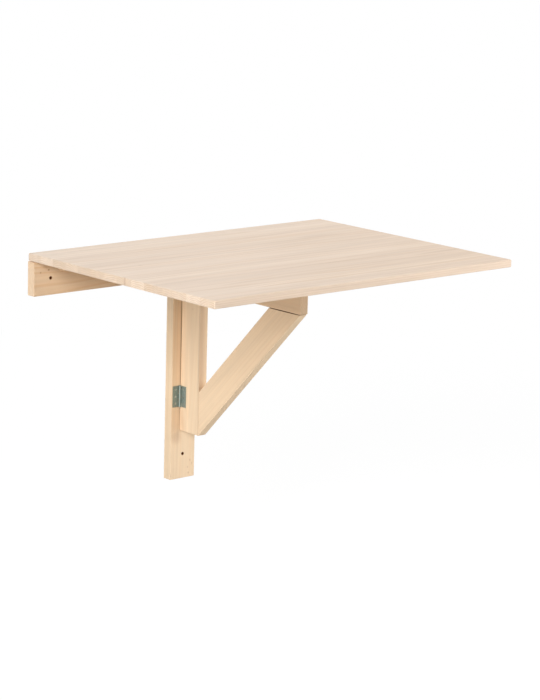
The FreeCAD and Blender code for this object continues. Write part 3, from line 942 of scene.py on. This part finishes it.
def cut_recess(tree, body, head, reach_share, width_share):
    """Cut a cross recess into a screw's head: two slots that cross."""
    reach, half_width = (
        add_node(tree, "ShaderNodeMath", {0: head, 1: share}, operation="MULTIPLY").outputs[0]
        for share in (reach_share, width_share)
    )
    length, width = (
        add_node(tree, "ShaderNodeMath", {0: half, 1: 2.0}, operation="MULTIPLY").outputs[0]
        for half in (reach, half_width)
    )
    slots = []
    for across, along in ((length, width), (width, length)):
        size = add_node(
            tree, "ShaderNodeCombineXYZ", {"X": across, "Y": along, "Z": reach},
        ).outputs["Vector"]
        slots.append(add_node(tree, "GeometryNodeMeshCube", {"Size": size}).outputs["Mesh"])
    return add_node(
        tree, "GeometryNodeMeshBoolean", {"Mesh 1": body, "Mesh 2": slots},
        operation="DIFFERENCE", solver="EXACT",
    ).outputs["Mesh"]


def add_thread(tree, start, end, root, shank, pitch):
    """Add a thread: a helix of triangular section from the screw's point to its plain shank."""
    rise = add_node(tree, "ShaderNodeMath", {0: end, 1: start}, operation="SUBTRACT").outputs[0]
    turns = add_node(tree, "ShaderNodeMath", {0: rise, 1: pitch}, operation="DIVIDE").outputs[0]
    helix = add_node(
        tree, "GeometryNodeCurveSpiral",
        {
            "Resolution": HELIX_STEPS, "Rotations": turns, "Height": rise,
            "Start Radius": root, "End Radius": root,
        },
    ).outputs["Curve"]
    crest = add_node(tree, "ShaderNodeMath", {0: shank, 1: root}, operation="SUBTRACT").outputs[0]
    triangle = add_node(
        tree, "GeometryNodeCurvePrimitiveCircle", {"Resolution": 3, "Radius": crest},
    ).outputs["Curve"]
    thread = add_node(
        tree, "GeometryNodeCurveToMesh",
        {"Curve": helix, "Profile Curve": triangle, "Fill Caps": True},
    ).outputs["Mesh"]
    place = add_node(tree, "ShaderNodeCombineXYZ", {"Z": start}).outputs["Vector"]
    return add_node(
        tree, "GeometryNodeTransform", {"Geometry": thread, "Translation": place},
    ).outputs["Geometry"]


def build_screw_tree():
    """Build the tree for countersunk wood screws with a cross recess and a helical thread."""
    tree = bpy.data.node_groups.new("crosshead_screws", "GeometryNodeTree")
    add_sockets(tree, "INPUT", {
        "NodeSocketGeometry": ["Points"],
        "NodeSocketFloat": [
            "Head Radius", "Shank Radius", "Length", "Recess Width", "Recess Reach", "Thread Pitch",
        ],
        "NodeSocketInt": ["Seed"],
        "NodeSocketMaterial": ["Material"],
    })
    add_sockets(tree, "OUTPUT", {"NodeSocketGeometry": ["Geometry"]})
    given = add_node(tree, "NodeGroupInput").outputs
    head = given["Head Radius"]
    shank = given["Shank Radius"]
    length = given["Length"]

    # The shank is plain under the head, then tapers to the root of the thread
    neck = add_node(tree, "ShaderNodeMath", {0: shank, 1: head}, operation="SUBTRACT").outputs[0]
    plain_end, taper_end, tip, root, point = (
        add_node(tree, "ShaderNodeMath", {0: whole, 1: share}, operation="MULTIPLY").outputs[0]
        for whole, share in (
            (length, -PLAIN_END), (length, -TAPER_END), (length, -1.0),
            (shank, ROOT_SHARE), (shank, POINT_RADIUS),
        )
    )
    point_start = add_node(
        tree, "ShaderNodeMath", {0: shank, 1: POINT_LENGTH, 2: tip}, operation="MULTIPLY_ADD",
    ).outputs[0]
    circle = add_node(
        tree, "GeometryNodeCurvePrimitiveCircle", {"Resolution": SCREW_SIDES, "Radius": 1.0},
    ).outputs["Curve"]
    stations = (
        (tip, point), (point_start, root), (taper_end, root),
        (plain_end, shank), (neck, shank), (0.0, head),
    )
    body = add_turned(tree, stations, circle)
    body = cut_recess(tree, body, head, given["Recess Reach"], given["Recess Width"])
    thread = add_thread(tree, point_start, taper_end, root, shank, given["Thread Pitch"])
    screw = add_node(tree, "GeometryNodeJoinGeometry", {"Geometry": [body, thread]}).outputs["Geometry"]
    add_copies(tree, given, screw)
    return tree


def build_dowel_tree():
    """Build the tree for dowels with chamfered ends and straight glue flutes."""
    tree = bpy.data.node_groups.new("fluted_dowels", "GeometryNodeTree")
    add_sockets(tree, "INPUT", {
        "NodeSocketGeometry": ["Points"],
        "NodeSocketFloat": ["Radius", "Length", "Chamfer"],
        "NodeSocketInt": ["Flutes", "Seed"],
        "NodeSocketMaterial": ["Material"],
    })
    add_sockets(tree, "OUTPUT", {"NodeSocketGeometry": ["Geometry"]})
    given = add_node(tree, "NodeGroupInput").outputs
    radius = given["Radius"]
    bottom, high_edge = (
        add_node(tree, "ShaderNodeMath", {0: given[name], 1: -1.0}, operation="MULTIPLY").outputs[0]
        for name in ("Length", "Chamfer")
    )
    low_edge = add_node(
        tree, "ShaderNodeMath", {0: bottom, 1: given["Chamfer"]}, operation="ADD",
    ).outputs[0]
    end_radius = add_node(
        tree, "ShaderNodeMath", {0: radius, 1: given["Chamfer"]}, operation="SUBTRACT",
    ).outputs[0]
    star = add_node(
        tree, "GeometryNodeCurveStar",
        {"Points": given["Flutes"], "Inner Radius": FLUTE_BOTTOM, "Outer Radius": 1.0},
    ).outputs["Curve"]
    stations = ((bottom, end_radius), (low_edge, radius), (high_edge, radius), (0.0, end_radius))
    add_copies(tree, given, add_turned(tree, stations, star))
    return tree


def make_repeated(name, node, tree, sizes):
    """Set a tree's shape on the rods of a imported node, as one plain mesh that stands for it."""
    rods = find_rods(node)
    mesh = bpy.data.meshes.new(name)
    mesh.from_pydata([rod.head for rod in rods], [], [])
    ways = mesh.attributes.new("way", "FLOAT_VECTOR", "POINT")
    ways.data.foreach_set("vector", [share for rod in rods for share in rod.way])
    piece = bpy.data.objects.new(name, mesh)
    bpy.context.scene.collection.objects.link(piece)
    modifier = piece.modifiers.new(tree.name, "NODES")
    modifier.node_group = tree
    for item in tree.interface.items_tree:
        if item.in_out == "INPUT" and item.name in sizes:
            modifier[item.identifier] = sizes[item.name]
    evaluated = piece.evaluated_get(bpy.context.evaluated_depsgraph_get())
    plain = bpy.data.meshes.new_from_object(evaluated)
    if not plain.polygons:
        raise RuntimeError(f"{name} came out empty")
    piece.modifiers.remove(modifier)
    piece.data = plain
    plain.name = name
    plain.shade_smooth()
    plain.set_sharp_from_angle(angle=SHARP_ANGLE)
    bpy.data.meshes.remove(mesh)
    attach(piece, frame["nodes"][node]["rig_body"])
    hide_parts(node)
    return piece


def paint_boards(boards, wood):
    """Give each board of a group its own planed wood."""
    for board in boards:
        paint(board.node, make_board_wood("planed_pine", board, wood))


class TABLE_OT_finish_leaf(bpy.types.Operator):
    """Give the staves of the leaf their sanded wood"""

    bl_idname = "table.finish_leaf"
    bl_label = "Finish Leaf"

    def execute(self, context):
        material = make_leaf_wood(context.scene.table_wood)
        for node in STAVES:
            paint(node, material)
        return {"FINISHED"}


class TABLE_OT_finish_frame(bpy.types.Operator):
    """Give the wall rail, the batten and the hinge strip their planed wood"""

    bl_idname = "table.finish_frame"
    bl_label = "Finish Wall Frame"

    def execute(self, context):
        paint_boards(FRAME_BOARDS, context.scene.table_wood)
        return {"FINISHED"}


class TABLE_OT_finish_bracket(bpy.types.Operator):
    """Give the leg, the arm and the brace of the bracket their planed wood"""

    bl_idname = "table.finish_bracket"
    bl_label = "Finish Bracket"

    def execute(self, context):
        paint_boards(BRACKET_BOARDS, context.scene.table_wood)
        return {"FINISHED"}


class TABLE_OT_finish_cleat(bpy.types.Operator):
    """Give the cleat under the leaf its planed wood"""

    bl_idname = "table.finish_cleat"
    bl_label = "Finish Cleat"

    def execute(self, context):
        paint_boards((CLEAT,), context.scene.table_wood)
        return {"FINISHED"}


class TABLE_OT_make_dowels(bpy.types.Operator):
    """Replace the plain dowels by fluted ones"""

    bl_idname = "table.make_dowels"
    bl_label = "Make Dowels"

    def execute(self, context):
        wood = context.scene.table_wood
        tree = build_dowel_tree()
        for dowel in DOWELS:
            rod = find_rods(dowel.node)[0]
            sizes = {
                "Radius": rod.radius, "Length": rod.length, "Chamfer": CHAMFER_SHARE * rod.radius,
                "Flutes": wood.flutes, "Seed": SEED,
                "Material": make_board_wood("turned_birch", dowel, wood),
            }
            make_repeated(f"fluted_{dowel.node}", dowel.node, tree, sizes)
        return {"FINISHED"}


class TABLE_OT_finish_hinges(bpy.types.Operator):
    """Give the leaves and pins of all four hinges their zinc"""

    bl_idname = "table.finish_hinges"
    bl_label = "Finish Hinges"

    def execute(self, context):
        zinc = make_zinc("zinc_plated_hinge_steel", context.scene.table_metal.hinge_zinc, roughness=0.54)
        for node in HINGE_PIECES:
            paint(node, zinc)
        return {"FINISHED"}


class TABLE_OT_make_screws(bpy.types.Operator):
    """Replace the plain screws by cross-head ones with threads"""

    bl_idname = "table.make_screws"
    bl_label = "Make Screws"

    def execute(self, context):
        metal = context.scene.table_metal
        zinc = make_zinc("zinc_plated_screw_steel", metal.screw_zinc, roughness=0.32)
        tree = build_screw_tree()
        for node, shank_share in SHANK_SHARES.items():
            rod = find_rods(node)[0]
            sizes = {
                "Head Radius": rod.radius, "Shank Radius": shank_share * rod.radius, "Length": rod.length,
                "Recess Width": metal.recess_width, "Recess Reach": metal.recess_reach,
                "Thread Pitch": metal.thread_pitch, "Seed": SEED, "Material": zinc,
            }
            make_repeated(f"crosshead_{node}", node, tree, sizes)
        return {"FINISHED"}


def add_seen(tree):
    """Give one on rays from the eye, also by way of metal or glass, and none on other rays."""
    path = add_node(tree, "ShaderNodeLightPath").outputs
    seen = path["Is Camera Ray"]
    for ray in ("Is Glossy Ray", "Is Transmission Ray"):
        seen = add_node(
            tree, "ShaderNodeMath", {0: seen, 1: path[ray]}, operation="MAXIMUM",
        ).outputs["Value"]
    return seen


def make_floor_paint():
    """Matt white studio floor: white to the eye, with a faint trace of the table's shadow near it."""
    material, tree = start_material("matt_white_studio_floor")
    pale = with_alpha(to_linear("#DDDCD9"))
    bounce = add_node(tree, "ShaderNodeBsdfDiffuse", {"Color": pale}).outputs["BSDF"]
    trace = with_alpha((FLOOR_TRACE, FLOOR_TRACE, FLOOR_TRACE))
    faint = add_node(tree, "ShaderNodeBsdfDiffuse", {"Color": trace}).outputs["BSDF"]
    glow = add_node(tree, "ShaderNodeEmission", {"Strength": FLOOR_GLOW}).outputs["Emission"]
    near = add_node(tree, "ShaderNodeAddShader", {0: faint, 1: glow}).outputs["Shader"]
    white = add_node(tree, "ShaderNodeEmission", {"Strength": 1.0}).outputs["Emission"]
    place = add_node(tree, "ShaderNodeTexCoord").outputs["Object"]
    reach = add_node(tree, "ShaderNodeVectorMath", {0: place}, operation="LENGTH").outputs["Value"]
    far = add_node(
        tree, "ShaderNodeMapRange", {"Value": reach, **FLOOR_FADE},
        interpolation_type="SMOOTHSTEP",
    ).outputs["Result"]
    shown = add_node(tree, "ShaderNodeMixShader", {0: far, 1: near, 2: white}).outputs["Shader"]
    upper = add_node(
        tree, "ShaderNodeMixShader", {0: add_seen(tree), 1: bounce, 2: shown},
    ).outputs["Shader"]
    clear = add_node(tree, "ShaderNodeBsdfTransparent").outputs["BSDF"]
    below = add_node(tree, "ShaderNodeNewGeometry").outputs["Backfacing"]
    both = add_node(tree, "ShaderNodeMixShader", {0: below, 1: upper, 2: clear}).outputs["Shader"]
    add_node(tree, "ShaderNodeOutputMaterial", {"Surface": both})
    return material


def make_floor(stage):
    """Lay a large plain floor well under the table."""
    mesh = bpy.data.meshes.new("studio_floor")
    corners = [
        (across * FLOOR_HALF, out * FLOOR_HALF, -stage.floor_drop)
        for across, out in ((-1, -1), (1, -1), (1, 1), (-1, 1))
    ]
    mesh.from_pydata(corners, [], [(0, 1, 2, 3)])
    floor = bpy.data.objects.new("studio_floor", mesh)
    bpy.context.scene.collection.objects.link(floor)
    floor.data.materials.append(make_floor_paint())


def make_surround(stage):
    """Surround the table with even light, which looks white."""
    world = bpy.data.worlds.new("white_studio")
    bpy.context.scene.world = world
    world.use_nodes = True
    tree = world.node_tree
    tree.nodes.clear()
    strength = add_node(
        tree, "ShaderNodeMapRange", {"Value": add_seen(tree), "To Min": stage.ambient, "To Max": 1.0},
    ).outputs["Result"]
    sky = add_node(
        tree, "ShaderNodeBackground", {"Color": (1, 1, 1, 1), "Strength": strength},
    ).outputs["Background"]
    add_node(tree, "ShaderNodeOutputWorld", {"Surface": sky})


def find_back(turn, rise):
    """Give the way from the table back to what looks at it, by its azimuth and elevation in radians."""
    return Vector((math.sin(turn) * math.cos(rise), -math.cos(turn) * math.cos(rise), math.sin(rise)))


def make_lamp(name, azimuth, elevation, distance, size, level):
    """Hang a square soft box that looks at the table and lights a facing surface to a level."""
    lamp = bpy.data.lights.new(name, "AREA")
    lamp.shape = "SQUARE"
    lamp.size = size
    lamp.energy = level * (math.pi * distance) ** 2
    back = find_back(math.radians(azimuth), math.radians(elevation))
    centre = (cad_box[0] + cad_box[1]) / 2
    holder = bpy.data.objects.new(name, lamp)
    holder.location = centre + distance * back
    holder.rotation_euler = (-back).to_track_quat("-Z", "Y").to_euler()
    bpy.context.scene.collection.objects.link(holder)


def make_camera(stage):
    """Stand the camera where the table is seen from its left front, a little from above."""
    back = find_back(stage.camera_azimuth, stage.camera_elevation)
    right = Vector((math.cos(stage.camera_azimuth), math.sin(stage.camera_azimuth), 0))
    up = back.cross(right)
    facing = Matrix((right, up, back)).transposed().to_4x4()
    camera = bpy.data.objects.new("camera", bpy.data.cameras.new("camera"))
    camera.data.lens = stage.focal_length
    camera.data.sensor_width = SENSOR_WIDTH
    camera.matrix_world = (
        Matrix.Translation(stage.camera_place) @ facing @ Matrix.Rotation(stage.camera_roll, 4, "Z")
    )
    bpy.context.scene.collection.objects.link(camera)
    bpy.context.scene.camera = camera


class TABLE_OT_set_stage(bpy.types.Operator):
    """Lay the floor, hang the lamps and stand the camera"""

    bl_idname = "table.set_stage"
    bl_label = "Set Stage"

    def execute(self, context):
        stage = context.scene.table_stage
        make_floor(stage)
        make_surround(stage)
        make_lamp("key_soft_box", azimuth=-56, elevation=26, distance=4.0, size=1.2, level=0.62)
        make_lamp("left_soft_box", azimuth=-90, elevation=12, distance=4.0, size=1.4, level=0.3)
        make_lamp("fill_soft_box", azimuth=46, elevation=9, distance=2.0, size=1.0, level=0.49)
        make_lamp("top_soft_box", azimuth=90, elevation=65, distance=2.4, size=1.8, level=0.37)
        make_lamp("rear_soft_box", azimuth=155, elevation=20, distance=4.5, size=2.6, level=0.38)
        make_camera(stage)
        context.scene.view_settings.view_transform = "Standard"
        return {"FINISHED"}


OPERATORS = (
    TABLE_OT_finish_leaf,
    TABLE_OT_finish_frame,
    TABLE_OT_finish_bracket,
    TABLE_OT_finish_cleat,
    TABLE_OT_make_dowels,
    TABLE_OT_finish_hinges,
    TABLE_OT_make_screws,
    TABLE_OT_set_stage,
)


class TABLE_PT_finish(bpy.types.Panel):
    """Lists the pieces of the table that can be finished, and their settings"""

    bl_idname = "TABLE_PT_finish"
    bl_label = "Drop Leaf Table"
    bl_space_type = "VIEW_3D"
    bl_region_type = "UI"
    bl_category = "Drop Leaf Table"

    def draw(self, context):
        for operator in OPERATORS:
            self.layout.operator(operator.bl_idname)
        for settings in (context.scene.table_wood, context.scene.table_metal, context.scene.table_stage):
            column = self.layout.column()
            for name in settings.__annotations__:
                column.prop(settings, name)


CLASSES = (WoodSettings, MetalSettings, StageSettings, *OPERATORS, TABLE_PT_finish)


def register():
    """Register the classes and hang the settings on the scene."""
    for each in CLASSES:
        bpy.utils.register_class(each)
    bpy.types.Scene.table_wood = PointerProperty(type=WoodSettings)
    bpy.types.Scene.table_metal = PointerProperty(type=MetalSettings)
    bpy.types.Scene.table_stage = PointerProperty(type=StageSettings)


def unregister():
    """Take the settings off the scene and unregister the classes."""
    del bpy.types.Scene.table_stage
    del bpy.types.Scene.table_metal
    del bpy.types.Scene.table_wood
    for each in reversed(CLASSES):
        bpy.utils.unregister_class(each)


def main():
    """Finish every piece and set the stage."""
    register()
    bpy.ops.table.finish_leaf()
    bpy.ops.table.finish_frame()
    bpy.ops.table.finish_bracket()
    bpy.ops.table.finish_cleat()
    bpy.ops.table.make_dowels()
    bpy.ops.table.finish_hinges()
    bpy.ops.table.make_screws()
    bpy.ops.table.set_stage()


if __name__ == "__main__":
    main()
